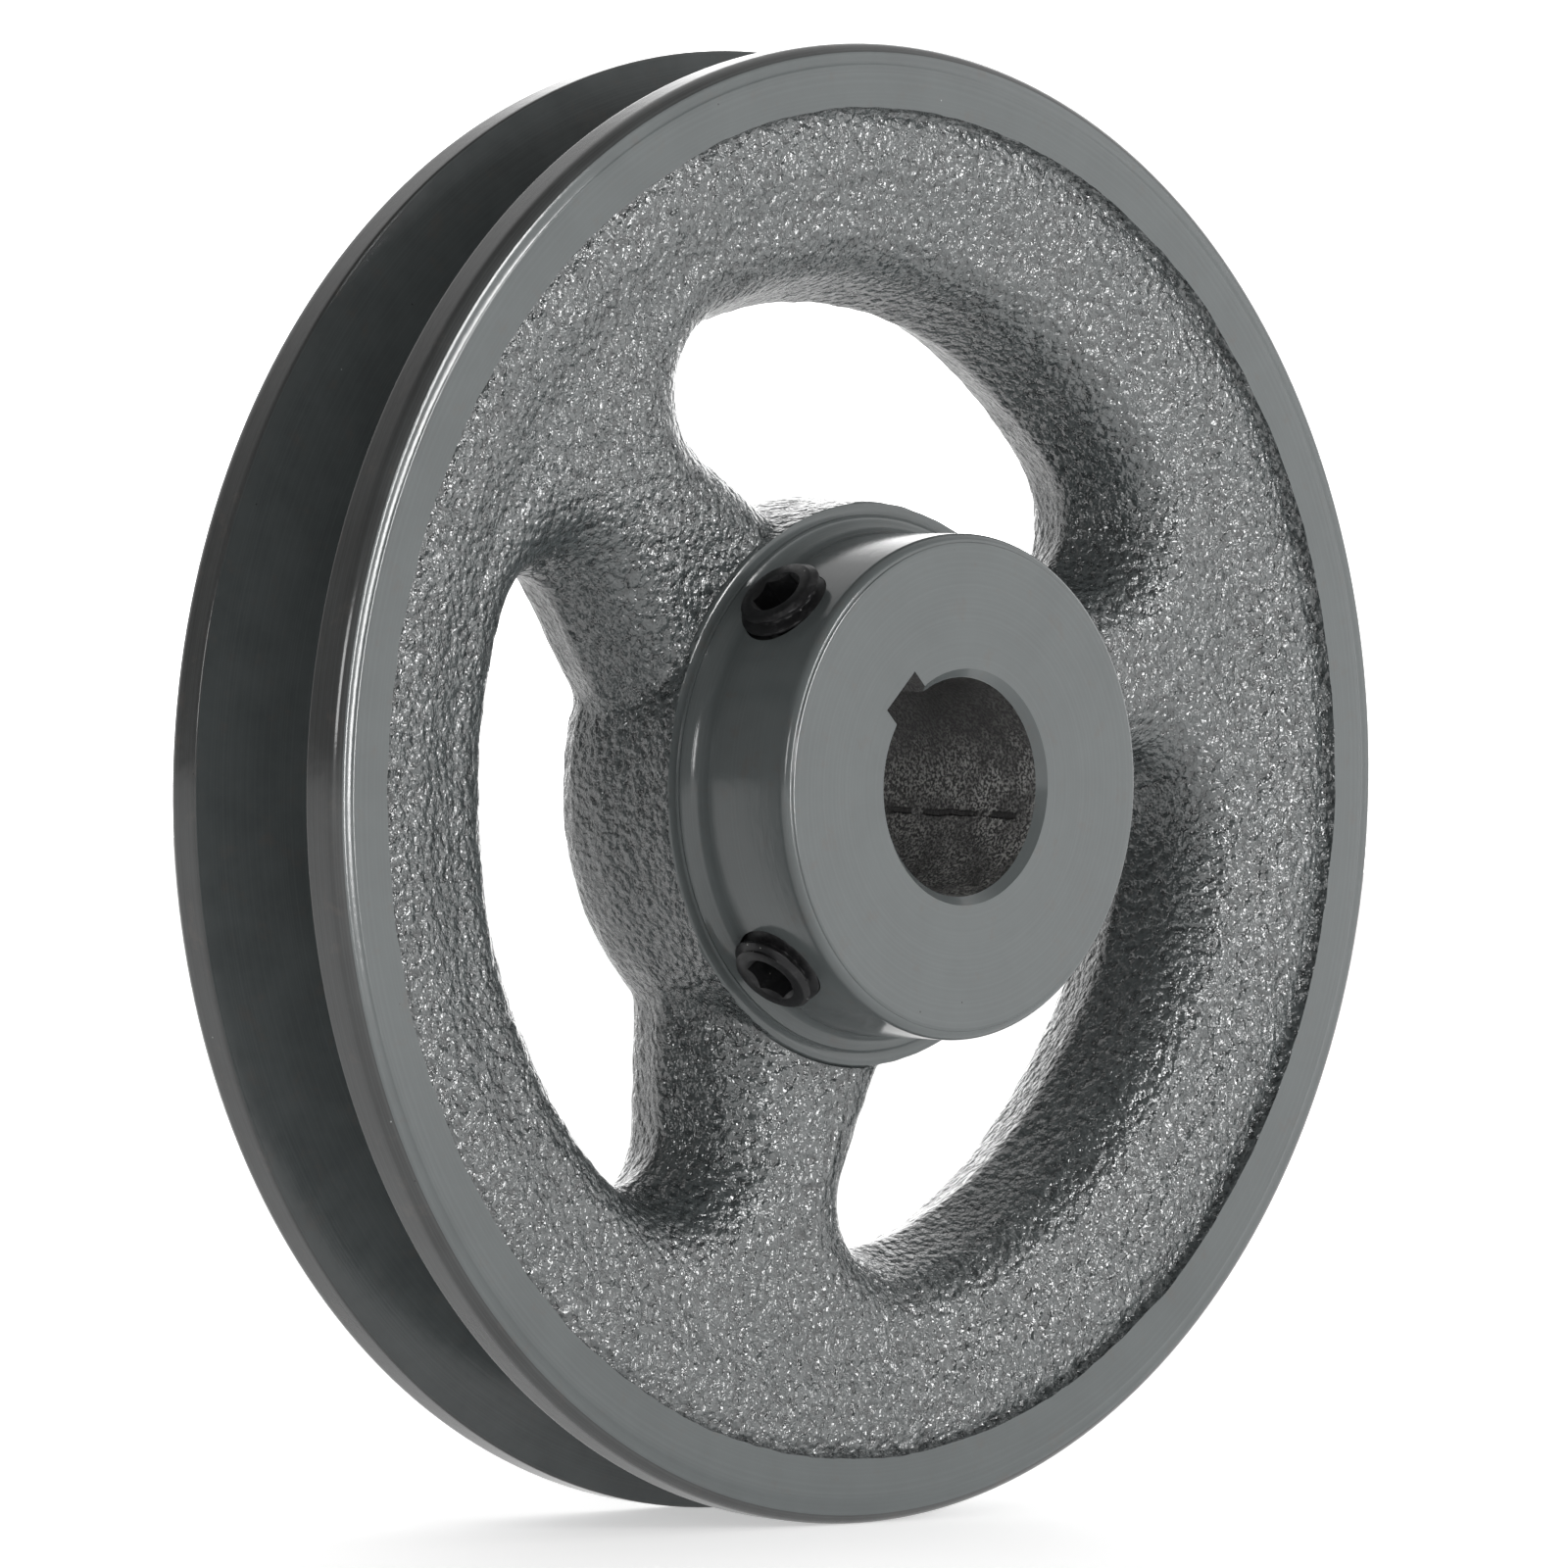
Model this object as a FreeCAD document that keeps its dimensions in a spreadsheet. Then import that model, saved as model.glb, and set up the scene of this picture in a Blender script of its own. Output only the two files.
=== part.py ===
"""A V-belt pulley with one groove, a web with three arms, and a finished bore with two set screws.

The bore runs along Y and the hub's nose points towards -Y. The origin is on the bore's axis, midway between
the rim's two faces, and +Z is up. The casting is drawn with its keyway straight up, towards +Z, and its
Placement then turns it to the angle at which the pulley stands.
"""
import FreeCAD, Part
import math
import os

import Sketcher

Vector = FreeCAD.Vector
UPRIGHT = 90.0  # the angle from +X towards +Z at which the keyway is drawn
WINDOWS = 3
ORIGIN = (-1, 1)  # a sketch's own origin, as a piece of geometry and a point on it
START, END, CENTRE = 1, 2, 3
NEAR = 0.02

# alias, value in millimetres or degrees, what it is
SIZES = (
    ("rim_diameter", 129.54, "outside diameter of both flanges"),
    ("face_width", 21.3, "width across the turned faces of the rim"),
    ("rim_corner", 1.75, "rounding of the rim's outer corners"),
    ("groove_width", 14.0, "width of the V groove at the outside diameter"),
    ("groove_angle", 38.0, "included angle of the V groove"),
    ("groove_depth", 12.7, "depth of the V groove"),
    ("groove_corner", 0.6, "rounding at the bottom of the groove"),
    ("turned_ring_bore", 118.2, "diameter where the turned face meets the cast ring"),
    ("cast_recess", 0.8, "depth of the cast ring below the turned face"),
    ("shelf_diameter", 108.0, "inner edge of the flat cast ring"),
    ("web_diameter", 102.0, "outer edge of the arms' sloping face"),
    ("core_diameter", 30.0, "inner end of the arms, inside the hub"),
    ("web_at_rim", 8.8, "half thickness of the arms at the rim"),
    ("web_at_hub", 7.8, "half thickness of the arms at the hub"),
    ("window_radius", 42.2, "outer radius of the windows at the parting plane"),
    ("window_root", 24.9, "inner radius of the windows at the parting plane, just inside the boss"),
    ("window_draft", 20.0, "draft of the windows' walls"),
    ("window_corner", 5.5, "corner radius at the rim end of a window"),
    ("root_corner", 6.0, "corner radius at the hub end of a window"),
    ("window_edge", 6.0, "rounding of the windows' edges"),
    ("arm_offset", 17.0, "distance of an arm's side from the bore's axis"),
    ("arm_taper", 13.0, "angle between an arm's side and its centre line"),
    ("arm_clock", 2.0, "angle from the keyway to the nearest arm"),
    ("hub_diameter", 44.0, "diameter of the turned hub"),
    ("hub_nose", 20.05, "distance of the hub's front face from the groove's middle"),
    ("hub_edge", 1.0, "rounding of the hub's front edge"),
    ("flare_diameter", 48.8, "outer edge of the turned flare at the hub's root"),
    ("flare_level", 8.2, "distance of the flare in front of the groove's middle"),
    ("flare_radius", 2.2, "radius of the turned flare"),
    ("boss_diameter", 50.4, "largest diameter of the cast boss"),
    ("boss_level", 0.2, "where the boss is widest, behind the groove's middle"),
    ("dome_diameter", 48.4, "diameter where the boss starts to dome at the back"),
    ("dome_start", 4.8, "where the boss starts to dome, behind the groove's middle"),
    ("waist_diameter", 43.6, "diameter halfway round the dome"),
    ("waist_level", 7.6, "halfway round the dome, behind the groove's middle"),
    ("hub_back_diameter", 36.8, "diameter of the turned face at the back of the hub"),
    ("bore_diameter", 19.05, "finished bore"),
    ("bore_chamfer", 0.75, "chamfer at both ends of the bore"),
    ("key_width", 4.7625, "width of the keyway"),
    ("key_floor", 11.73, "distance of the keyway's floor from the bore's axis"),
    ("keyway_clock", 136.2, "angle of the keyway from +X towards +Z"),
    ("screw_diameter", 7.9375, "outside diameter of the set screws' thread"),
    ("screw_clearance", 0.05, "gap all round between a set screw and its hole"),
    ("screw_length", 9.525, "length of a set screw"),
    ("screw_head", 23.6, "distance of a set screw's outer end from the bore's axis"),
    ("screw_station", 13.0, "distance of the set screws in front of the groove's middle"),
    ("screw_end_chamfer", 0.6, "chamfer at both ends of a set screw"),
    ("socket_width", 3.96875, "width across the flats of the hexagon socket"),
    ("socket_depth", 4.0, "depth of the hexagon socket"),
    ("cup_diameter", 4.0, "diameter of the hollow in a set screw's point"),
    ("cup_depth", 1.0, "depth of the hollow in a set screw's point"),
)

# The rim and the arms as a section: distance from the axis, and distance along it.
RIM_SECTION = (
    ("Sizes.core_diameter / 2", "-Sizes.web_at_hub"),
    ("Sizes.web_diameter / 2", "-Sizes.web_at_rim"),
    ("Sizes.shelf_diameter / 2", "-Sizes.face_width / 2 + Sizes.cast_recess"),
    ("Sizes.turned_ring_bore / 2", "-Sizes.face_width / 2 + Sizes.cast_recess"),
    ("Sizes.turned_ring_bore / 2", "-Sizes.face_width / 2"),
    ("Sizes.rim_diameter / 2", "-Sizes.face_width / 2"),
    ("Sizes.rim_diameter / 2", "-Sizes.groove_width / 2"),
    ("Sizes.rim_diameter / 2 - Sizes.groove_depth",
     "-Sizes.groove_width / 2 + Sizes.groove_depth * tan(Sizes.groove_angle / 2 * 1deg)"),
    ("Sizes.rim_diameter / 2 - Sizes.groove_depth",
     "Sizes.groove_width / 2 - Sizes.groove_depth * tan(Sizes.groove_angle / 2 * 1deg)"),
    ("Sizes.rim_diameter / 2", "Sizes.groove_width / 2"),
    ("Sizes.rim_diameter / 2", "Sizes.face_width / 2"),
    ("Sizes.turned_ring_bore / 2", "Sizes.face_width / 2"),
    ("Sizes.turned_ring_bore / 2", "Sizes.face_width / 2 - Sizes.cast_recess"),
    ("Sizes.shelf_diameter / 2", "Sizes.face_width / 2 - Sizes.cast_recess"),
    ("Sizes.web_diameter / 2", "Sizes.web_at_rim"),
    ("Sizes.core_diameter / 2", "Sizes.web_at_hub"),
)

# The hub as a section, from the bore's front end round to its back end.
HUB_SECTION = (
    ("Sizes.bore_diameter / 2", "-Sizes.hub_nose + Sizes.bore_chamfer"),
    ("Sizes.bore_diameter / 2 + Sizes.bore_chamfer", "-Sizes.hub_nose"),
    ("Sizes.hub_diameter / 2", "-Sizes.hub_nose"),
    ("Sizes.hub_diameter / 2", "-Sizes.flare_level"),
    ("Sizes.flare_diameter / 2", "-Sizes.flare_level"),
    ("Sizes.boss_diameter / 2", "Sizes.boss_level"),
    ("Sizes.dome_diameter / 2", "Sizes.dome_start"),
    ("Sizes.waist_diameter / 2", "Sizes.waist_level"),
    ("Sizes.hub_back_diameter / 2", "Sizes.face_width / 2"),
    ("Sizes.bore_diameter / 2 + Sizes.bore_chamfer", "Sizes.face_width / 2"),
    ("Sizes.bore_diameter / 2", "Sizes.face_width / 2 - Sizes.bore_chamfer"),
)

# The keyway's outline, from inside the bore out to its floor.
KEYWAY = (
    ("-Sizes.key_width / 2", "Sizes.bore_diameter / 4"),
    ("Sizes.key_width / 2", "Sizes.bore_diameter / 4"),
    ("Sizes.key_width / 2", "Sizes.key_floor"),
    ("-Sizes.key_width / 2", "Sizes.key_floor"),
)

# The hollow in a set screw's point as a section: distance from the screw's axis, and distance along it.
CUP_SECTION = (
    ("Sizes.cup_diameter / 2", "-Sizes.screw_length"),
    ("0", "-Sizes.screw_length + Sizes.cup_depth"),
    ("0", "-Sizes.screw_length"),
)


def make_sheet(doc):
    """The spreadsheet that holds every driving dimension."""
    sheet = doc.addObject("Spreadsheet::Sheet", "Sizes")
    for row, (alias, value, note) in enumerate(SIZES, start=1):
        sheet.set(f"A{row}", note)
        sheet.set(f"B{row}", str(value))
        sheet.setAlias(f"B{row}", alias)
    doc.recompute()
    return sheet


def new_body(doc, label):
    """An empty body that carries one sub-part."""
    body = doc.addObject("PartDesign::Body", label)
    body.Label = label
    return body


def origin_feature(body, role):
    """One of the body's own origin planes or axes."""
    return next(feature for feature in body.Origin.OriginFeatures if feature.Role == role)


def new_sketch(body, plane, name):
    """A sketch on one of the body's own origin planes."""
    sketch = body.newObject("Sketcher::SketchObject", name)
    sketch.AttachmentSupport = (origin_feature(body, plane), [""])
    sketch.MapMode = "FlatFace"
    return sketch


def new_feature(body, kind, name, **settings):
    """A feature of the body. A setting that is text over the sheet is bound as an expression."""
    feature = body.newObject("PartDesign::" + kind, name)
    for key, setting in settings.items():
        if isinstance(setting, str) and "Sizes." in setting:
            feature.setExpression(key, setting)
        else:
            setattr(feature, key, setting)
    body.Document.recompute()
    return feature


def value_of(owner, words):
    """The number that an expression over the sheet stands for."""
    found = owner.evalExpression(words)
    return float(getattr(found, "Value", found))


def dimension(sketch, name, words, kind, *where):
    """Adds a named dimension to a sketch and binds it to the sheet. Angles are given in degrees."""
    number = value_of(sketch, words)
    if kind == "Angle":
        sketch.addConstraint(Sketcher.Constraint(kind, *where, math.radians(number)))
    else:
        sketch.addConstraint(Sketcher.Constraint(kind, *where, number))
    sketch.renameConstraint(sketch.ConstraintCount - 1, name)
    sketch.setExpression("Constraints." + name, f"({words}) * 1deg" if kind == "Angle" else words)


def draw_outline(sketch, corners):
    """Draws a closed outline of straight lines, with every corner placed from the sheet."""
    places = [Vector(value_of(sketch, across), value_of(sketch, along), 0) for across, along in corners]
    count = len(places)
    for index in range(count):
        sketch.addGeometry(Part.LineSegment(places[index], places[(index + 1) % count]))
    for index in range(count):
        following = (index + 1) % count
        sketch.addConstraint(Sketcher.Constraint("Coincident", index, END, following, START))
    for index, (across, along) in enumerate(corners):
        for kind, words in (("DistanceX", across), ("DistanceY", along)):
            if words == "0":
                sketch.addConstraint(Sketcher.Constraint("PointOnObject", index, START, -2))
            else:
                dimension(sketch, f"{kind}{index}", words, kind, *ORIGIN, index, START)


def draw_circle(sketch, across, along, radius):
    """Draws a circle with its centre and its radius placed from the sheet."""
    centre = Vector(value_of(sketch, across), value_of(sketch, along), 0)
    sketch.addGeometry(Part.Circle(centre, Vector(0, 0, 1), value_of(sketch, radius)))
    for kind, words in (("DistanceX", across), ("DistanceY", along)):
        if words == "0":
            axis = -2 if kind == "DistanceX" else -1
            sketch.addConstraint(Sketcher.Constraint("PointOnObject", 0, CENTRE, axis))
        else:
            dimension(sketch, kind, words, kind, *ORIGIN, 0, CENTRE)
    dimension(sketch, "Radius", radius, "Radius", 0)


def arc(centre, radius, start, end):
    """An arc that runs from one angle to another, anticlockwise, in degrees."""
    circle = Part.Circle(centre, Vector(0, 0, 1), radius)
    return Part.ArcOfCircle(circle, math.radians(start), math.radians(end))


def direction(angle):
    """The unit vector at an angle in degrees."""
    return Vector(math.cos(math.radians(angle)), math.sin(math.radians(angle)), 0)


def angle_of(vector):
    """The angle of a vector in degrees, from 0 to 360."""
    return math.degrees(math.atan2(vector.y, vector.x)) % 360


def draw_window(sketch):
    """Draws the window between two arms, symmetrical about the sketch's vertical axis.

    Each side of the window is an arm's flank: a line at a set distance from the bore's axis. An arc joins
    both flanks along the rim and another along the hub, and smaller arcs round the four corners.
    """
    outer, root, offset, taper, corner, root_corner = (
        value_of(sketch, "Sizes." + alias)
        for alias in ("window_radius", "window_root", "arm_offset", "arm_taper", "window_corner", "root_corner")
    )
    arm_angle = UPRIGHT - 180 / WINDOWS
    along, across = direction(arm_angle - taper), direction(arm_angle - taper + 90)
    rim_reach = math.sqrt((outer - corner) ** 2 - (offset + corner) ** 2)
    root_reach = math.sqrt((root + root_corner) ** 2 - (offset + root_corner) ** 2)
    rim_centre = across * (offset + corner) + along * rim_reach
    root_centre = across * (offset + root_corner) + along * root_reach
    rim_angle, root_angle, inward = angle_of(rim_centre), angle_of(root_centre), angle_of(across * -1)

    def mirrored(place):
        return Vector(-place.x, place.y, 0)

    rim_end, root_end = rim_centre - across * corner, root_centre - across * root_corner
    pieces = (
        arc(Vector(), outer, rim_angle, 180 - rim_angle),
        arc(mirrored(rim_centre), corner, 180 - rim_angle, 540 - inward),
        Part.LineSegment(mirrored(rim_end), mirrored(root_end)),
        arc(mirrored(root_centre), root_corner, 540 - inward, 360 - root_angle),
        arc(Vector(), root, root_angle, 180 - root_angle),
        arc(root_centre, root_corner, 180 + root_angle, inward),
        Part.LineSegment(root_end, rim_end),
        arc(rim_centre, corner, inward, 360 + rim_angle),
    )
    for piece in pieces:
        sketch.addGeometry(piece)
    joints = ((0, END, 1, START), (1, END, 2, START), (2, END, 3, START), (3, END, 4, END),
              (4, START, 5, START), (5, END, 6, START), (6, END, 7, START), (7, END, 0, START))
    for joint in joints:
        sketch.addConstraint(Sketcher.Constraint("Tangent", *joint))
    for index in (0, 4):
        sketch.addConstraint(Sketcher.Constraint("Coincident", index, CENTRE, *ORIGIN))
    sketch.addConstraint(Sketcher.Constraint("Equal", 1, 7))
    sketch.addConstraint(Sketcher.Constraint("Equal", 3, 5))
    sketch.addConstraint(Sketcher.Constraint("Symmetric", 6, START, 2, END, -2))
    dimension(sketch, "WindowRadius", "Sizes.window_radius", "Radius", 0)
    dimension(sketch, "WindowRoot", "Sizes.window_root", "Radius", 4)
    dimension(sketch, "WindowCorner", "Sizes.window_corner", "Radius", 7)
    dimension(sketch, "RootCorner", "Sizes.root_corner", "Radius", 5)
    dimension(sketch, "ArmOffset", "Sizes.arm_offset", "Distance", *ORIGIN, 6)
    dimension(sketch, "FlankAngle", f"{arm_angle} - Sizes.arm_taper", "Angle", 6)


def edges_where(feature, test):
    """The names of a feature's edges that pass a test."""
    names = []
    for index, edge in enumerate(feature.Shape.Edges, start=1):
        if test(edge):
            names.append(f"Edge{index}")
    return names


def is_ring(edge, radius, level):
    """True if an edge is a circle of this radius about the bore's axis, this far along it."""
    curve = edge.Curve
    return (
        isinstance(curve, Part.Circle)
        and abs(curve.Radius - radius) < NEAR
        and math.hypot(curve.Center.x, curve.Center.z) < NEAR
        and abs(curve.Center.y - level) < NEAR
    )


def round_rings(body, name, base, radius_words, rings):
    """Rounds the circular edges listed as radius and distance along the axis, each an expression."""
    places = [(value_of(base, radius), value_of(base, level)) for radius, level in rings]
    names = edges_where(base, lambda edge: any(is_ring(edge, *place) for place in places))
    if len(names) != len(places):
        raise RuntimeError(f"{name}: found {len(names)} edges for {len(places)} rings")
    return new_feature(body, "Fillet", name, Base=(base, names), Radius=radius_words)


def is_window_rim(edge):
    """True if an edge lies round a window on the front or back face of the arms."""
    box = edge.BoundBox
    levels = (abs(box.YMin), abs(box.YMax))
    far = max(math.hypot(v.X, v.Z) for v in edge.Vertexes)
    near = min(math.hypot(v.X, v.Z) for v in edge.Vertexes)
    return min(levels) > 6.0 and box.YMin * box.YMax > 0 and near > 15.2 and far < 50.9


def checked_cut(body, feature, before):
    """Stops the build if a cut took nothing away."""
    if feature.Shape.isNull() or feature.Shape.Volume >= before - 1.0:
        raise RuntimeError(f"{feature.Name} cut nothing")
    return feature


def cut_windows(body, base):
    """Cuts the three windows with drafted walls and rounds their edges."""
    sketch = new_sketch(body, "XZ_Plane", "window_outline")
    sketch.AttachmentOffset = FreeCAD.Placement(Vector(), FreeCAD.Rotation(Vector(0, 0, 1), 1.0))
    sketch.setExpression("AttachmentOffset.Rotation.Angle", f"(Sizes.arm_clock + {180 / WINDOWS}) * 1deg")
    draw_window(sketch)
    volume = base.Shape.Volume
    window = new_feature(
        body, "Pocket", "window", Profile=sketch, SideType="Symmetric", Length="Sizes.face_width * 1.2",
        TaperAngle="Sizes.window_draft",
    )
    checked_cut(body, window, volume)
    pattern = new_feature(
        body, "PolarPattern", "windows", Originals=[window], Axis=(origin_feature(body, "Y_Axis"), [""]),
        Angle=360, Occurrences=WINDOWS,
    )
    body.Tip = pattern
    body.Document.recompute()
    names = edges_where(pattern, is_window_rim)
    return new_feature(body, "Fillet", "window_edges", Base=(pattern, names), Radius="Sizes.window_edge")


def revolve(body, name, plane, corners, axis="V_Axis"):
    """Turns a closed section about the sketch's vertical axis."""
    sketch = new_sketch(body, plane, name + "_section")
    draw_outline(sketch, corners)
    return new_feature(body, "Revolution", name, Profile=sketch, ReferenceAxis=(sketch, [axis]), Angle=360)


def cut_keyway(body, base):
    """Cuts the keyway along the whole bore."""
    sketch = new_sketch(body, "XZ_Plane", "keyway_outline")
    draw_outline(sketch, KEYWAY)
    keyway = new_feature(
        body, "Pocket", "keyway", Profile=sketch, SideType="Symmetric", Length="Sizes.hub_nose * 3"
    )
    return checked_cut(body, keyway, base.Shape.Volume)


def cut_screw_hole(body, base, name, plane, across, along, reversed_side):
    """Cuts one set-screw hole from the bore out through the hub."""
    sketch = new_sketch(body, plane, name + "_outline")
    draw_circle(sketch, across, along, "Sizes.screw_diameter / 2 + Sizes.screw_clearance")
    hole = new_feature(
        body, "Pocket", name, Profile=sketch, Reversed=reversed_side, Length="Sizes.boss_diameter"
    )
    return checked_cut(body, hole, base.Shape.Volume)


def make_casting(doc):
    """The pulley itself: rim, arms and hub in one casting."""
    body = new_body(doc, "pulley_casting")
    rim = revolve(body, "rim_and_arms", "XY_Plane", RIM_SECTION)
    windows = cut_windows(body, rim)
    hub = revolve(body, "hub", "XY_Plane", HUB_SECTION)
    rounded = round_rings(body, "rim_corners", hub, "Sizes.rim_corner", (
        ("Sizes.rim_diameter / 2", "-Sizes.face_width / 2"),
        ("Sizes.rim_diameter / 2", "Sizes.face_width / 2"),
    ))
    rounded = round_rings(body, "hub_edge_rounding", rounded, "Sizes.hub_edge", (
        ("Sizes.hub_diameter / 2", "-Sizes.hub_nose"),
    ))
    rounded = round_rings(body, "flare", rounded, "Sizes.flare_radius", (
        ("Sizes.hub_diameter / 2", "-Sizes.flare_level"),
    ))
    bottom = "Sizes.rim_diameter / 2 - Sizes.groove_depth"
    half = "(Sizes.groove_width / 2 - Sizes.groove_depth * tan(Sizes.groove_angle / 2 * 1deg))"
    rounded = round_rings(body, "groove_corners", rounded, "Sizes.groove_corner", (
        (bottom, "-" + half), (bottom, half),
    ))
    keyway = cut_keyway(body, rounded)
    upper = cut_screw_hole(
        body, keyway, "hole_over_keyway", "XY_Plane", "0", "-Sizes.screw_station", True
    )
    cut_screw_hole(body, upper, "hole_beside_keyway", "YZ_Plane", "-Sizes.screw_station", "0", False)
    turn = value_of(body, "Sizes.keyway_clock") - UPRIGHT
    body.Placement = FreeCAD.Placement(Vector(), FreeCAD.Rotation(Vector(0, -1, 0), turn))
    return body


def draw_hexagon(sketch):
    """Draws the socket's hexagon about the sketch's origin, sized across its flats."""
    reach = value_of(sketch, "Sizes.socket_width") / math.sqrt(3)
    corners = [direction(60 * index) * reach for index in range(6)]
    for index in range(6):
        sketch.addGeometry(Part.LineSegment(corners[index], corners[(index + 1) % 6]))
    sketch.addGeometry(Part.Circle(Vector(), Vector(0, 0, 1), reach), True)
    for index in range(6):
        sketch.addConstraint(Sketcher.Constraint("Coincident", index, END, (index + 1) % 6, START))
        sketch.addConstraint(Sketcher.Constraint("PointOnObject", index, START, 6))
    for index in range(1, 6):
        sketch.addConstraint(Sketcher.Constraint("Equal", 0, index))
    sketch.addConstraint(Sketcher.Constraint("Coincident", 6, CENTRE, *ORIGIN))
    sketch.addConstraint(Sketcher.Constraint("PointOnObject", 0, START, -1))
    dimension(sketch, "Reach", "Sizes.socket_width / sqrt(3)", "Radius", 6)


def make_screw(doc, label, clock):
    """A set screw with a hexagon socket and a cup point, its outer end at the given angle of the hub.

    It is drawn along Z with the middle of its outer end at the origin and its point below.
    """
    body = new_body(doc, label)
    round_sketch = new_sketch(body, "XY_Plane", "shank_outline")
    draw_circle(round_sketch, "0", "0", "Sizes.screw_diameter / 2")
    shank = new_feature(
        body, "Pad", "shank", Profile=round_sketch, Length="Sizes.screw_length", Reversed=True
    )
    rims = edges_where(shank, lambda edge: isinstance(edge.Curve, Part.Circle))
    ends = new_feature(
        body, "Chamfer", "end_chamfers", Base=(shank, rims), Size="Sizes.screw_end_chamfer"
    )
    hexagon = new_sketch(body, "XY_Plane", "socket_outline")
    draw_hexagon(hexagon)
    socket = new_feature(body, "Pocket", "socket", Profile=hexagon, Length="Sizes.socket_depth")
    checked_cut(body, socket, ends.Shape.Volume)
    cup = new_sketch(body, "XZ_Plane", "cup_section")
    draw_outline(cup, CUP_SECTION)
    groove = new_feature(
        body, "Groove", "cup", Profile=cup, ReferenceAxis=(cup, ["V_Axis"]), Angle=360
    )
    checked_cut(body, groove, socket.Shape.Volume)
    head, station = value_of(body, "Sizes.screw_head"), value_of(body, "Sizes.screw_station")
    outward = direction(clock)
    body.Placement = FreeCAD.Placement(
        Vector(outward.x * head, -station, outward.y * head),
        FreeCAD.Rotation(Vector(0, -1, 0), clock - UPRIGHT),
    )
    return body


def check(doc, bodies):
    """Stops the build if any object failed or any sub-part isn't one sound solid."""
    doc.recompute()
    for thing in doc.Objects:
        if "Invalid" in thing.State or "Error" in thing.State:
            raise RuntimeError(f"{thing.Name} failed: {thing.State}")
    for body in bodies:
        shape = body.Shape
        if shape.isNull() or not shape.isValid() or len(shape.Solids) != 1:
            raise RuntimeError(f"{body.Label} isn't one sound solid")
        print(body.Label, "volume", round(shape.Volume, 1), "mm3,", shape.BoundBox)


def main():
    """Builds the pulley and writes one STEP file for each sub-part."""
    doc = FreeCAD.newDocument("pulley")
    sheet = make_sheet(doc)
    clock = value_of(sheet, "Sizes.keyway_clock")
    bodies = (
        make_casting(doc),
        make_screw(doc, "set_screw_over_keyway", clock),
        make_screw(doc, "set_screw_beside_keyway", clock + 90),
    )
    check(doc, bodies)
    os.makedirs("parts", exist_ok=True)
    for body in bodies:
        body.Shape.exportStep(f"parts/{body.Label}.step")


main()
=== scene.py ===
"""A cast iron V-belt pulley with two set screws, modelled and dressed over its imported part.

Sizes are in millimetres unless a name says otherwise, in the part's own frame: the bore runs along Y, the
hub's nose points towards -Y, +Z is up, and the origin is in the middle of the belt groove.
"""
import logging
import math
from dataclasses import dataclass, field
from enum import Enum
from typing import Any, Sequence

import bmesh
import bpy
import numpy as np
from mathutils import Matrix, Vector, noise


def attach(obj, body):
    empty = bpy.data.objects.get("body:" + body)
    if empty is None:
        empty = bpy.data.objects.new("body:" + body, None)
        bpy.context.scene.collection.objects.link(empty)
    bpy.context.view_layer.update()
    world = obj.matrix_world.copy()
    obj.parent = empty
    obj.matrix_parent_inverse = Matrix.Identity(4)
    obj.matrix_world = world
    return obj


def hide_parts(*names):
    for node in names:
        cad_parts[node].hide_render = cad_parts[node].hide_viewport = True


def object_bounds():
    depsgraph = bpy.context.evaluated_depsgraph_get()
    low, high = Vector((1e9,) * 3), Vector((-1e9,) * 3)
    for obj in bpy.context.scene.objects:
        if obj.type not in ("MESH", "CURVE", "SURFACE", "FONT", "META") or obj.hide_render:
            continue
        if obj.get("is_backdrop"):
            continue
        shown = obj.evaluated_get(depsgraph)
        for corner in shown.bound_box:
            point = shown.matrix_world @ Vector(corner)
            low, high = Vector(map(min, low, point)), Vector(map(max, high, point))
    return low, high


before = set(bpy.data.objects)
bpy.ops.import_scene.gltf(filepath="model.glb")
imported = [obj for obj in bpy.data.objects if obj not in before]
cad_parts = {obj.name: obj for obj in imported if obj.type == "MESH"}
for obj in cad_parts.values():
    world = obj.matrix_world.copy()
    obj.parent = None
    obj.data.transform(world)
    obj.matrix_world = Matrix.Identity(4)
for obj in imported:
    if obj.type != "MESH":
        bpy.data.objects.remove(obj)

LOG = logging.getLogger("pulley")
MM = 0.001
KEYWAY_CLOCK = 136.2  # degrees from +X towards +Z

Array = np.ndarray
Colour = tuple[float, float, float]
Spot = tuple[float, float]  # distance from the axis, and distance along it


class Skin(Enum):
    """The kinds of surface on the casting, in the order of its material slots."""

    CAST = 0
    TURNED = 1
    LAND = 2
    GROOVE = 3
    BARE = 4


class Cut(Enum):
    """What one solid does to another."""

    KEEP_COMMON = "INTERSECT"
    TAKE_AWAY = "DIFFERENCE"


# ---------------------------------------------------------------- shading


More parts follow.
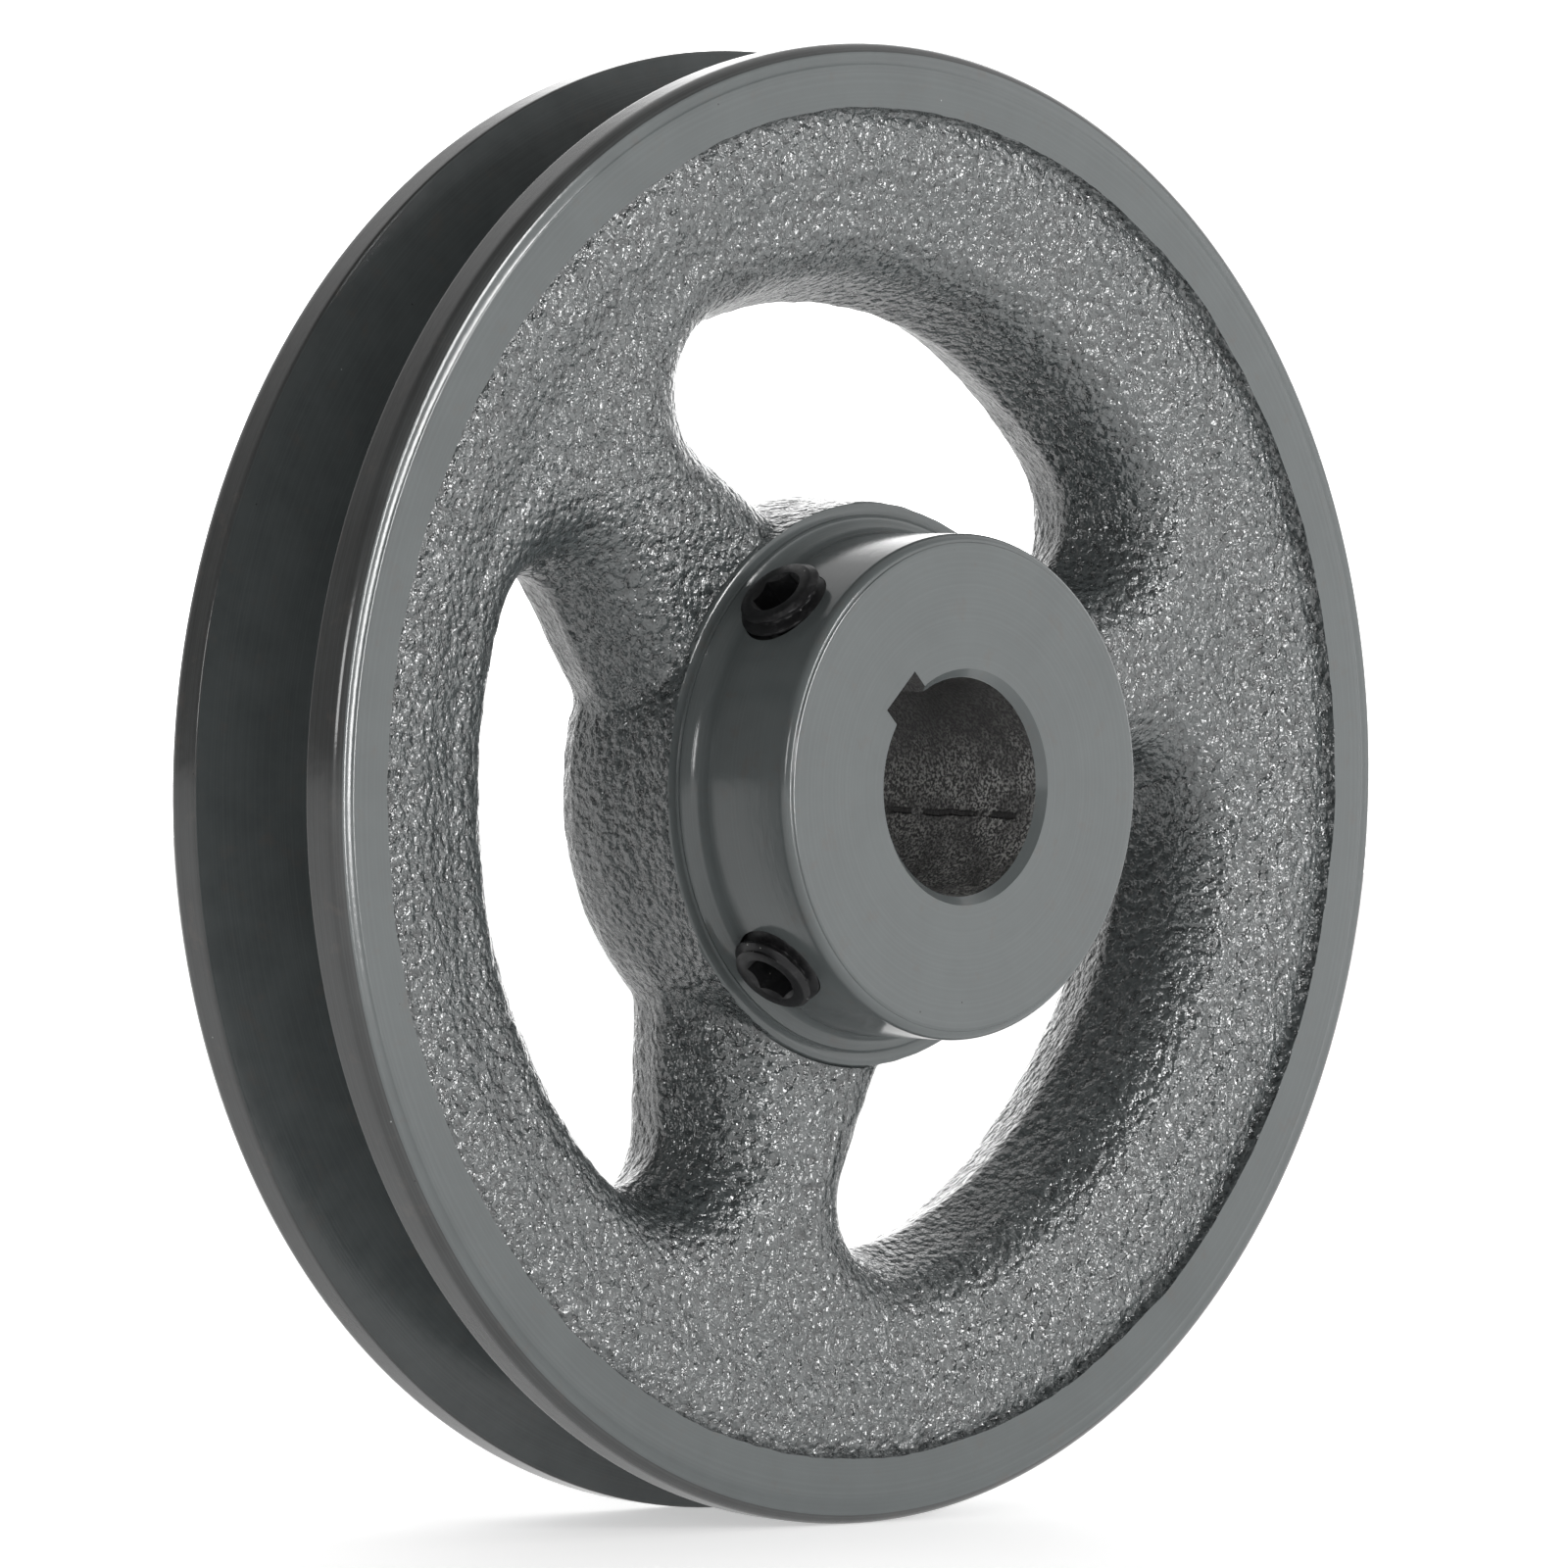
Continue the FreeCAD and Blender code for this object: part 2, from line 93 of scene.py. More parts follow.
@dataclass(frozen=True)
class Wire:
    """One output of a node. Arithmetic on it adds Math nodes."""

    recipe: "Recipe"
    socket: bpy.types.NodeSocket

    def maths(self, operation: str, *values: Any) -> "Wire":
        """A Math node that takes these values in order."""
        return self.recipe.node("ShaderNodeMath", {"operation": operation}, dict(enumerate(values)))

    def __add__(self, other: Any) -> "Wire":
        """The sum."""
        return self.maths("ADD", self, other)

    __radd__ = __add__

    def __sub__(self, other: Any) -> "Wire":
        """The difference."""
        return self.maths("SUBTRACT", self, other)

    def __rsub__(self, other: Any) -> "Wire":
        """The difference, the other way round."""
        return self.maths("SUBTRACT", other, self)

    def __mul__(self, other: Any) -> "Wire":
        """The product."""
        return self.maths("MULTIPLY", self, other)

    __rmul__ = __mul__

    def __pow__(self, other: Any) -> "Wire":
        """The power."""
        return self.maths("POWER", self, other)

    def __abs__(self) -> "Wire":
        """The size without its sign."""
        return self.maths("ABSOLUTE", self)

    def ramp(self, low: float, high: float, start: float = 0.0, end: float = 1.0) -> "Wire":
        """A smooth step.

        Args:
            low: The value at which the step starts.
            high: The value at which the step ends.
            start: The result up to the step.
            end: The result beyond the step.

        Returns:
            The stepped value.
        """
        return self.recipe.node(
            "ShaderNodeMapRange",
            {"interpolation_type": "SMOOTHSTEP"},
            {"Value": self, "From Min": low, "From Max": high, "To Min": start, "To Max": end},
        )


class Recipe:
    """A material or a surrounding under construction."""

    def __init__(self, owner: bpy.types.Material | bpy.types.World) -> None:
        """Starts with no nodes.

        Args:
            owner: What the nodes belong to.
        """
        self.owner = owner
        owner.use_nodes = True
        self.tree = owner.node_tree
        self.tree.nodes.clear()

    def node(
        self,
        kind: str,
        settings: dict[str, Any] | None = None,
        sockets: dict[str | int, Any] | None = None,
        output: str | int = 0,
    ) -> Wire:
        """Adds a node.

        Args:
            kind: The node's type.
            settings: Its properties, set before its sockets.
            sockets: Values or wires for its inputs, by name or by number.
            output: The output that is wanted.

        Returns:
            That output.
        """
        made = self.tree.nodes.new(kind)
        for key, value in (settings or {}).items():
            setattr(made, key, value)
        for key, value in (sockets or {}).items():
            if isinstance(value, Wire):
                self.tree.links.new(value.socket, made.inputs[key])
            else:
                made.inputs[key].default_value = value
        return Wire(self, made.outputs[output])

    def place(self) -> Wire:
        """The point on the object, in metres."""
        return self.node("ShaderNodeTexCoord", output="Object")

    def axes(self) -> tuple[Wire, Wire, Wire]:
        """The point's x, y and z, in metres."""
        where = self.place()
        return tuple(self.node("ShaderNodeSeparateXYZ", {}, {0: where}, axis) for axis in "XYZ")

    def noise(self, grain_mm: float, detail: float = 2.0, roughness: float = 0.5) -> Wire:
        """Even noise from 0 to 1 with a grain of this size."""
        sockets = {"Vector": self.place(), "Scale": 1 / (grain_mm * MM)}
        sockets |= {"Detail": detail, "Roughness": roughness}
        return self.node("ShaderNodeTexNoise", {}, sockets)

    def cells(self, grain_mm: float, smoothness: float = 0.5) -> Wire:
        """The distance to the nearest of many scattered points, rounded off between them."""
        sockets = {"Vector": self.place(), "Scale": 1 / (grain_mm * MM), "Smoothness": smoothness}
        return self.node("ShaderNodeTexVoronoi", {"feature": "SMOOTH_F1"}, sockets)

    def specks(self, spacing_mm: float, size: float, share: float) -> Wire:
        """Scattered round specks.

        Args:
            spacing_mm: The spacing of the places where a speck may be.
            size: A speck's radius as a share of the spacing.
            share: The share of the places that have one.

        Returns:
            1 on a speck and 0 elsewhere.
        """
        sockets = {"Vector": self.place(), "Scale": 1 / (spacing_mm * MM)}
        cell = self.node("ShaderNodeTexVoronoi", {"feature": "F1"}, sockets)
        chance = self.node("ShaderNodeSeparateColor", {}, {0: Wire(self, cell.socket.node.outputs["Color"])})
        return cell.ramp(size, size * 0.6) * chance.maths("LESS_THAN", chance, share)

    def mix(self, factor: Any, first: Any, second: Any) -> Wire:
        """A colour between two colours. Plain colours may be given as three numbers."""
        a, b = ((*c, 1.0) if isinstance(c, tuple) else c for c in (first, second))
        return self.node("ShaderNodeMix", {"data_type": "RGBA"}, {0: factor, 6: a, 7: b}, 2)

    def bump(self, height: Wire, depth_mm: float, under: Wire | None = None) -> Wire:
        """A surface disturbed by a height from 0 to 1."""
        sockets: dict[str | int, Any] = {"Height": height, "Distance": depth_mm * MM, "Strength": 1.0}
        if under:
            sockets["Normal"] = under
        return self.node("ShaderNodeBump", {}, sockets)

    def close(self, shader: str, output: str, sockets: dict[str | int, Any]) -> Any:
        """Ends in a shader.

        Args:
            shader: The shader's node type.
            output: The output's node type.
            sockets: Values or wires for the shader's inputs.

        Returns:
            The finished owner of the nodes.
        """
        made = self.node(shader, {}, sockets)
        self.tree.links.new(made.socket, self.tree.nodes.new(output).inputs["Surface"])
        return self.owner

    def painted(self, sockets: dict[str | int, Any]) -> bpy.types.Material:
        """Ends in a Principled shader with these values or wires for its inputs."""
        return self.close("ShaderNodeBsdfPrincipled", "ShaderNodeOutputMaterial", sockets)


@dataclass(frozen=True)
class CastPaint:
    """Grey paint over sand-cast iron: pebbled and wrinkled, with glinting crests and painted shade that
    darkens its creases, pits and hollows.
    """

    # light and dark are the colours of the pebbles' tops and of their hollows; the darker hollows are
    # painted shade.
    light: Colour = (0.058, 0.065, 0.066)
    dark: Colour = (0.020, 0.023, 0.024)
    tint: Colour = (0.046, 0.056, 0.058)
    # The colour of the painted shade in the creases and pits.
    crease_shade: Colour = (0.012, 0.013, 0.013)
    pebble_mm: float = 0.78
    grit_mm: float = 0.36
    relief_mm: float = 0.62
    patch_mm: float = 9.0
    roughness: tuple[float, float] = (0.09, 0.17)
    ior: float = 1.85

    def material(self) -> bpy.types.Material:
        """The finished material."""
        recipe = Recipe(bpy.data.materials.new("cast_paint"))
        pebbles = recipe.noise(self.pebble_mm, 2.0, 0.5)
        wrinkles = recipe.noise(self.pebble_mm * 1.9, 2.0, 0.6)
        creases = abs(wrinkles - 0.5).ramp(0.0, 0.030, 1.0, 0.0)
        pits = recipe.specks(1.5, 0.11, 0.40)
        cells = recipe.cells(self.pebble_mm, 0.5)
        grit = recipe.noise(self.grit_mm, 1.0)
        patches = recipe.noise(self.patch_mm, 3.0)
        height = pebbles * 0.6 + (1 - cells) * 0.35 + grit * 0.16 - creases * 0.05 - pits * 0.12
        # Painted shade: the colour is darker where the pebbles are low.
        shade = recipe.mix(pebbles.ramp(0.32, 0.55), self.dark, self.light)
        tinted = recipe.mix(patches.ramp(0.35, 0.75, 0.0, 0.35), shade, self.tint)
        # Painted shade: the creases and pits are darkened in the colour.
        crease_and_pit_shade = pits * 0.8 + creases * pebbles.ramp(0.50, 0.36) * 0.5
        return recipe.painted({
            "Base Color": recipe.mix(crease_and_pit_shade, tinted, self.crease_shade),
            "Roughness": grit.ramp(0.2, 0.8, *self.roughness),
            "Normal": recipe.bump(height, self.relief_mm),
            "IOR": self.ior,
        })


@dataclass(frozen=True)
class TurnedPaint:
    """Satin grey paint over a turned surface, with the tool's fine rings showing through."""

    name: str = "turned_paint"
    light: Colour = (0.088, 0.098, 0.099)
    dark: Colour = (0.082, 0.091, 0.092)
    ring_tint: Colour = (0.145, 0.160, 0.160)
    stain: Colour = (0.092, 0.078, 0.070)
    pit: Colour = (0.020, 0.021, 0.021)
    dust: Colour = (0.42, 0.43, 0.42)
    ring_mm: float = 0.30
    ring_depth_mm: float = 0.006
    peel_depth_mm: float = 0.012
    roughness: tuple[float, float] = (0.13, 0.18)
    ior: float = 1.5

    def material(self) -> bpy.types.Material:
        """The finished material."""
        recipe = Recipe(bpy.data.materials.new(self.name))
        x, y, z = recipe.axes()
        along_tool = (x * x + z * z) ** 0.5 + y * 1.3
        sockets = {"W": along_tool, "Scale": 1 / (self.ring_mm * MM), "Detail": 3.0}
        rings = recipe.node("ShaderNodeTexNoise", {"noise_dimensions": "1D"}, sockets)
        clouds = recipe.noise(6.0, 4.0, 0.6)
        orange_peel = recipe.noise(1.1, 2.0)
        stains = recipe.noise(2.6, 4.0, 0.65).ramp(0.56, 0.72, 0.0, 0.30)
        pits = recipe.specks(2.6, 0.040, 0.20)
        dust = recipe.specks(3.4, 0.026, 0.25)
        shade = recipe.mix(clouds.ramp(0.3, 0.7), self.dark, self.light)
        ringed = recipe.mix(rings.ramp(0.35, 0.75, 0.0, 0.09), shade, self.ring_tint)
        stained = recipe.mix(stains, ringed, self.stain)
        pitted = recipe.mix(pits * 0.8, stained, self.pit)
        dusted = recipe.mix(dust * 0.5, pitted, self.dust)
        relief = recipe.bump(rings, self.ring_depth_mm)
        skin = recipe.bump(orange_peel - pits, self.peel_depth_mm, relief)
        return recipe.painted({
            "Base Color": dusted,
            "Roughness": clouds.ramp(0.25, 0.75, *self.roughness),
            "Normal": skin,
            "IOR": self.ior,
        })


@dataclass(frozen=True)
class BareIron:
    """Machined iron without paint: grey and grainy, with painted shade that darkens it towards the top, and
    scored along the bore.
    """

    # light is the colour of the bright grains: partly the iron's own grain, partly painted glints.
    light: Colour = (0.52, 0.515, 0.50)
    dark: Colour = (0.014, 0.0138, 0.0135)
    score: Colour = (0.006, 0.005, 0.005)
    score_level: float = -0.0017  # metres
    grain_mm: float = 0.27
    relief_mm: float = 0.30
    roughness: tuple[float, float] = (0.25, 0.42)

    def material(self) -> bpy.types.Material:
        """The finished material."""
        recipe = Recipe(bpy.data.materials.new("bare_iron"))
        grain = recipe.noise(self.grain_mm, 3.0, 0.75)
        patches = recipe.noise(3.5, 3.0, 0.6)
        breaks = recipe.noise(2.4, 2.0).ramp(0.40, 0.52)
        _, _, z = recipe.axes()
        wander = recipe.noise(5.0, 2.0) * 0.0012
        score = abs(z - self.score_level + wander).ramp(0.00016, 0.00034, 1.0, 0.0) * breaks
        # Painted shade: the bore is darker towards its top.
        top_shade = z.ramp(0.0070, -0.0010, 0.20, 1.0)
        # Bright grains painted into the colour, partly the iron's grain and partly painted glints, dimmed at
        # the top by the painted shade.
        glint = grain.ramp(0.48, 0.56) * patches.ramp(0.36, 0.60, 0.30, 1.0) * top_shade
        scored = recipe.mix(score, recipe.mix(glint, self.dark, self.light), self.score)
        return recipe.painted({
            "Base Color": scored,
            "Metallic": glint * 0.35,
            "Roughness": patches.ramp(0.2, 0.8, *self.roughness),
            "Normal": recipe.bump(grain - score, self.relief_mm),
        })


@dataclass(frozen=True)
class BlackOxide:
    """Blackened steel with a slight sheen and a little dust."""

    black: Colour = (0.010, 0.010, 0.011)
    worn: Colour = (0.034, 0.034, 0.035)
    dust: Colour = (0.40, 0.40, 0.38)
    relief_mm: float = 0.012
    metallic: float = 0.35

    def material(self) -> bpy.types.Material:
        """The finished material."""
        recipe = Recipe(bpy.data.materials.new("black_oxide"))
        grain = recipe.noise(0.30, 3.0, 0.6)
        patches = recipe.noise(1.6, 2.0)
        dust = recipe.specks(0.85, 0.10, 0.14)
        shade = recipe.mix(patches.ramp(0.4, 0.75) * grain.ramp(0.35, 0.7), self.black, self.worn)
        return recipe.painted({
            "Base Color": recipe.mix(dust * 0.7, shade, self.dust),
            "Metallic": self.metallic,
            "Roughness": grain.ramp(0.2, 0.8, 0.30, 0.50),
            "Normal": recipe.bump(grain, self.relief_mm),
        })


@dataclass(frozen=True)
class PaleFloor:
    """A smooth, nearly white floor."""

    dark: Colour = (0.90, 0.90, 0.90)
    light: Colour = (0.93, 0.93, 0.93)
    glow: Colour = (0.92, 0.92, 0.92)
    strength: float = 0.5

    def material(self) -> bpy.types.Material:
        """The finished material."""
        recipe = Recipe(bpy.data.materials.new("pale_floor"))
        clouds = recipe.noise(220.0, 2.0)
        return recipe.painted({
            "Base Color": recipe.mix(clouds, self.dark, self.light),
            "Roughness": 0.8,
            "Emission Color": (*self.glow, 1.0),
            "Emission Strength": self.strength,
        })


# ---------------------------------------------------------------- meshes


def make_object(name: str, points: Array, faces: Sequence[Sequence[int]]) -> bpy.types.Object:
    """A mesh object.

    Args:
        name: The object's name.
        points: Its corners in millimetres.
        faces: Its faces as corner numbers.

    Returns:
        The object, in metres.
    """
    mesh = bpy.data.meshes.new(name)
    mesh.from_pydata((np.asarray(points) * MM).tolist(), [], faces)
    mesh.update()
    made = bpy.data.objects.new(name, mesh)
    bpy.context.scene.collection.objects.link(made)
    return made


def loft(name: str, rings: Array, closed: bool) -> bpy.types.Object:
    """A surface through rings of equal length.

    Args:
        name: The object's name.
        rings: Points by ring and by place round the ring.
        closed: True if the last ring joins the first, and False if both ends are closed by a middle point.

    Returns:
        The closed surface as an object.
    """
    count, around = rings.shape[:2]
    points = rings.reshape(-1, 3)
    faces = []
    for ring in range(count if closed else count - 1):
        here, there = ring * around, (ring + 1) % count * around
        for place in range(around):
            following = (place + 1) % around
            faces.append((here + place, here + following, there + following, there + place))
    if not closed:
        ends = np.stack([rings[0].mean(0), rings[-1].mean(0)])
        first, last, final = len(points), len(points) + 1, (count - 1) * around
        points = np.concatenate([points, ends])
        for place in range(around):
            following = (place + 1) % around
            faces.append((first, following, place))
            faces.append((last, final + place, final + following))
    made = make_object(name, points, faces)
    face_outwards(made)
    return made


def face_outwards(target: bpy.types.Object) -> None:
    """Turns a closed surface inside out if its faces look inwards."""
    shape = bmesh.new()
    shape.from_mesh(target.data)
    if shape.calc_volume(signed=True) < 0:
        bmesh.ops.reverse_faces(shape, faces=shape.faces)
        shape.to_mesh(target.data)
    shape.free()


def arc(centre: Spot, radius: float, start: float, end: float, steps: int) -> list[Spot]:
    """Points along an arc.

    Args:
        centre: Its centre.
        radius: Its radius.
        start: The angle at which it starts, in degrees.
        end: The angle at which it ends, in degrees.
        steps: The number of straight runs.

    Returns:
        The points, both ends included.
    """
    angles = np.radians(np.linspace(start, end, steps + 1))
    return [(centre[0] + radius * math.cos(a), centre[1] + radius * math.sin(a)) for a in angles]


def supported(section: list[Spot], reach: float = 0.2) -> list[Spot]:
    """Adds a point near both ends of each long straight run, so that the run shades flat.

    Args:
        section: The closed section's points.
        reach: How far from the run's ends the points stand.

    Returns:
        The section with the added points.
    """
    made = []
    for first, second in zip(section, section[1:] + section[:1]):
        length = math.dist(first, second)
        shares = (0.0, reach / length, 1 - reach / length) if length > 6 * reach else (0.0,)
        made += [tuple(a + (b - a) * share for a, b in zip(first, second)) for share in shares]
    return made


def shape_with(target: bpy.types.Object, tool: bpy.types.Object, cut: Cut) -> None:
    """Changes a solid with another solid, and removes the other.

    Args:
        target: The solid that is changed.
        tool: The solid that changes it.
        cut: What the tool does.
    """
    modifier = target.modifiers.new("cut", "BOOLEAN")
    modifier.operation = cut.value
    modifier.solver = "MANIFOLD"
    modifier.object = tool
    shaped = target.evaluated_get(bpy.context.evaluated_depsgraph_get())
    mesh = bpy.data.meshes.new_from_object(shaped)
    target.modifiers.clear()
    spent = (target.data, tool.data)
    target.data = mesh
    bpy.data.objects.remove(tool)
    for old in spent:
        bpy.data.meshes.remove(old)


def give_skin(target: bpy.types.Object, skins: Sequence[Skin]) -> None:
    """Gives every face of a solid its skin, one for each face or one for all."""
    for _ in Skin:
        target.data.materials.append(None)
    numbers = np.array([skin.value for skin in skins], np.int32)
    if len(numbers) == 1:
        numbers = np.repeat(numbers, len(target.data.polygons))
    target.data.polygons.foreach_set("material_index", numbers)


def smooth(target: bpy.types.Object, angle: float) -> None:
    """Shades a mesh smoothly, but not across a border between two skins.

    Args:
        target: The object.
        angle: The angle in degrees above which an edge stays crisp.
    """
    target.data.shade_smooth()
    target.data.set_sharp_from_angle(angle=math.radians(angle))
    shape = bmesh.new()
    shape.from_mesh(target.data)
    for edge in shape.edges:
        if len({face.material_index for face in edge.link_faces}) > 1:
            edge.smooth = False
    shape.to_mesh(target.data)
    shape.free()


def round_corner(first: Array, second: Array, radius: float, lean: Array | float = 0.0) -> Array:
    """The distance to the part that two solids share, with the edge between them rounded.

    Args:
        first: The distance outside one solid.
        second: The distance outside the other.
        radius: The edge's radius.
        lean: The cosine of the angle between the directions in which the two surfaces face.

    Returns:
        The distance outside the shared part.
    """
    a, b = first + radius, second + radius
    reach = np.sqrt(np.maximum(a * a + b * b - 2 * lean * a * b, 0) / (1 - lean**2)) - radius
    return np.where((a > lean * b) & (b > lean * a), reach, np.maximum(first, second))


def fill_corner(first: Array, second: Array, radius: float, lean: Array | float = 0.0) -> Array:
    """The distance to two solids joined, with the corner between them filled to a radius."""
    return -round_corner(-first, -second, radius, lean)


# ---------------------------------------------------------------- the casting


@dataclass
class CastSkin:
    """The casting as it leaves the sand, oversize wherever it is turned afterwards."""

    rim_reach: float = 66.0
    web_radii: tuple[float, ...] = (20.0, 25.0, 50.0, 54.0, 57.6, 58.7, 59.05, 59.5)
    web_levels: tuple[float, ...] = (7.9, 8.0, 8.75, 9.65, 9.85, 9.62, 10.65, 12.0)
    hub_radius: float = 24.6
    hub_front: float = -21.2
    boss_levels: tuple[float, ...] = (-9.0, 0.0, 3.5, 5.6, 8.0, 10.65, 12.2)
    boss_radii: tuple[float, ...] = (24.4, 25.2, 24.8, 23.8, 21.4, 18.4, 16.6)
    boss_front: float = -7.9
    hub_back: float = -4.0
    hub_fillet: float = 0.4
    back: float = 12.2
    parting_softness: float = 0.16
    window_clock: float = 78.0
    window_radius: float = 42.2
    window_draft: float = 20.0
    window_corner: float = 5.5
    window_edge: float = 6.0
    arm_offset: float = 17.0
    arm_taper: float = 13.0
    root_fillet: float = 2.2
    root_lean: float = 0.65
    pitch: float = 0.55
    settling_rounds: int = 3
    longest_move: float = 0.3
    low: tuple[float, float, float] = (-67.2, -22.0, -67.2)
    high: tuple[float, float, float] = (67.2, 13.2, 67.2)
    swell: tuple[tuple[float, float], ...] = ((13.0, 0.16), (4.2, 0.08), (1.7, 0.10))

    def window(self, x: Array, z: Array) -> Array:
        """The distance outside the nearest window's outline at the parting plane."""
        third = math.tau / 3
        turn = np.arctan2(z, x) - math.radians(self.window_clock)
        turn = np.abs((turn + third / 2) % third - third / 2)
        radius = np.hypot(x, z)
        sideways, outwards = radius * np.sin(turn), radius * np.cos(turn)
        lean = math.radians(120 - self.arm_taper)
        flank = self.arm_offset - (sideways * math.cos(lean) + outwards * math.sin(lean))
        meeting = np.clip(-np.sin(turn + lean), -0.9, 0.9)
        return round_corner(radius - self.window_radius, flank, self.window_corner, meeting)

    def distance(self, points: Array) -> Array:
        """The distance outside the casting's smooth surface, nearly, for points along the last axis."""
        x, y, z = points[..., 0], points[..., 1], points[..., 2]
        radius, level = np.hypot(x, z), np.sqrt(y * y + self.parting_softness)
        faces = np.abs(y) - np.interp(radius, self.web_radii, self.web_levels)
        draft = math.radians(self.window_draft)
        walls = level * math.sin(draft) - self.window(x, z) * math.cos(draft)
        arms = round_corner(faces, walls, self.window_edge, math.sin(draft))
        boss = np.maximum(radius - np.interp(y, self.boss_levels, self.boss_radii), self.boss_front - y)
        body = fill_corner(arms, boss, self.root_fillet, self.root_lean)
        hub = np.maximum(radius - self.hub_radius, y - self.hub_back)
        body = fill_corner(body, hub, self.hub_fillet)
        limits = np.maximum(radius - self.rim_reach, np.maximum(self.hub_front - y, y - self.back))
        return np.maximum(body, limits)

    def slope(self, points: Array) -> Array:
        """The gradient of the distance at a list of points."""
        step = 0.02
        shifts = np.eye(3) * step
        sides = [(self.distance(points + s) - self.distance(points - s)) / (2 * step) for s in shifts]
        return np.stack(sides, axis=-1)

    def relief(self, point: Array) -> float:
        """The height of the sand's grain and of the pattern's unevenness at one point."""
        place = Vector(point)
        return sum(size * noise.noise(place / grain) for grain, size in self.swell)

    def build(self) -> bpy.types.Object:
        """The rough casting as a closed mesh of even squares."""
        axes = [np.arange(a, b, self.pitch) for a, b in zip(self.low, self.high)]
        grid = np.stack(np.meshgrid(*axes, indexing="ij"), axis=-1)
        points, faces = even_net(self.distance(grid))
        points = points * self.pitch + np.array(self.low)
        for _ in range(self.settling_rounds):
            slope = self.slope(points)
            move = self.distance(points) / np.maximum((slope**2).sum(-1), 0.2)
            points -= np.clip(move, -self.longest_move, self.longest_move)[:, None] * slope
        slope = self.slope(points)
        outwards = slope / np.maximum(np.linalg.norm(slope, axis=-1), 1e-6)[:, None]
        height = np.array([self.relief(point) for point in points])
        return make_object("rough_casting", points + outwards * height[:, None], faces.tolist())


def even_net(values: Array) -> tuple[Array, Array]:
    """The surface where a grid of values changes sign, as evenly spaced four-sided faces.

    Args:
        values: The grid of values, below 0 inside the solid.

    Returns:
        The points in grid steps, and the faces as point numbers, facing outwards.
    """
    inside = values < 0
    corners = np.array([(i, j, k) for i in (0, 1) for j in (0, 1) for k in (0, 1)])
    trimmed = [inside[i : i - 1 or None, j : j - 1 or None, k : k - 1 or None] for i, j, k in corners]
    filled = sum(part.astype(np.int8) for part in trimmed)
    cells = np.argwhere((filled > 0) & (filled < 8))
    number = np.full(filled.shape, -1)
    number[tuple(cells.T)] = np.arange(len(cells))
    total, crossings = np.zeros((len(cells), 3)), np.zeros(len(cells))
    for a in corners:
        for axis in np.flatnonzero(a == 0):
            b = a + np.eye(3, dtype=int)[axis]
            start, end = values[tuple((cells + a).T)], values[tuple((cells + b).T)]
            crossed = (start < 0) != (end < 0)
            share = np.where(crossed, start / np.where(crossed, start - end, 1), 0)
            total += np.where(crossed[:, None], a + share[:, None] * (b - a), 0)
            crossings += crossed
    points = cells + total / crossings[:, None]
    faces = []
    for axis in range(3):
        u, v = np.eye(3, dtype=int)[(axis + 1) % 3], np.eye(3, dtype=int)[(axis + 2) % 3]
        ahead = np.roll(inside, -1, axis)
        edges = np.argwhere(inside != ahead)
        limit = np.array(inside.shape) - 1
        edges = edges[((edges > 0) & (edges < limit)).all(1)]
        ring = [number[tuple((edges - u * p - v * q).T)] for p, q in ((1, 1), (0, 1), (0, 0), (1, 0))]
        quads = np.stack(ring, axis=1)
        backwards = ~inside[tuple(edges.T)]
        quads[backwards] = quads[backwards, ::-1]
        faces.append(quads)
    return points, np.concatenate(faces)


